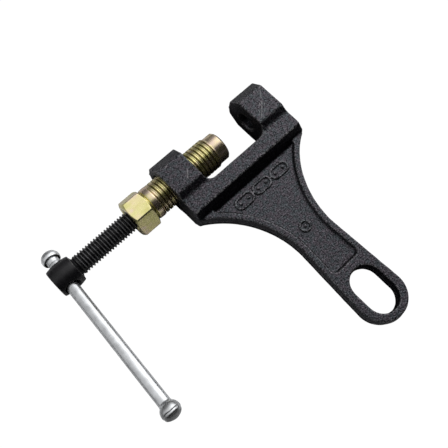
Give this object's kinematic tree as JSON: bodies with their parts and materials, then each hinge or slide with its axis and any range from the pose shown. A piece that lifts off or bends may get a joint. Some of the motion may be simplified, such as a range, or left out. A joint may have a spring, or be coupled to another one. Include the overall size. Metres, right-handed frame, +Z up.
{
  "type": "chain tool",
  "caption": "Screw-type pin press for roller chain: forged U head with flat slotted handle, hollow hex guide bolt, push screw with sliding cross bar and a loose drive pin.",
  "frame": {"origin": "centre of the flat underside of the crossbar, on the forging's plane of symmetry; the screw axis passes 13.4 mm towards +Y and 6.2 mm above it", "axes": "+X along the screw axis from the push screw towards the anvil; the handle points to -Y; +Z up with the tool lying flat"},
  "size_m": [0.1091, 0.1042, 0.0249],
  "materials": {
    "forged_black": "black coated forging with a fine grain and bright wear on its edges",
    "yellow_zinc": "yellow chromate over zinc on machined steel, slightly iridescent",
    "black_oxide": "black oxide, satin, brighter on the thread crests",
    "bright_zinc": "bright zinc plate, soft gloss",
    "hardened_steel": "ground hardened steel, lightly oiled"
  },
  "bodies": {
    "frame": {"frame": "forged_black"},
    "guide_bolt": {"guide_bolt": "yellow_zinc"},
    "drive_pin": {"drive_pin": "hardened_steel"},
    "push_screw": {"push_screw": "black_oxide"},
    "tommy_bar": {"tommy_bar": "bright_zinc", "bar_end_cap": "bright_zinc"}
  },
  "joints": [
    {"name": "guide_bolt_advance", "type": "slide", "parent": "frame", "child": "guide_bolt", "axis": [1, 0, 0], "range_m": [-0.014, 0.005]},
    {"name": "pin_advance", "type": "slide", "parent": "guide_bolt", "child": "drive_pin", "axis": [1, 0, 0], "range_m": [-0.0113, 0.0213]},
    {"name": "screw_turn", "type": "hinge", "parent": "drive_pin", "child": "push_screw", "pos_m": [-0.07561, 0.0134, 0.0062], "axis": [1, 0, 0], "range_deg": [-3240, 6120]},
    {"name": "bar_slide", "type": "slide", "parent": "push_screw", "child": "tommy_bar", "axis": [-0.0384, -0.9774, 0.2078], "range_m": [-0.0526, 0.0006]}
  ],
  "couplings": [
    {"joint": "pin_advance", "follows": "screw_turn", "m_per_rad": 0.00019894}
  ]
}
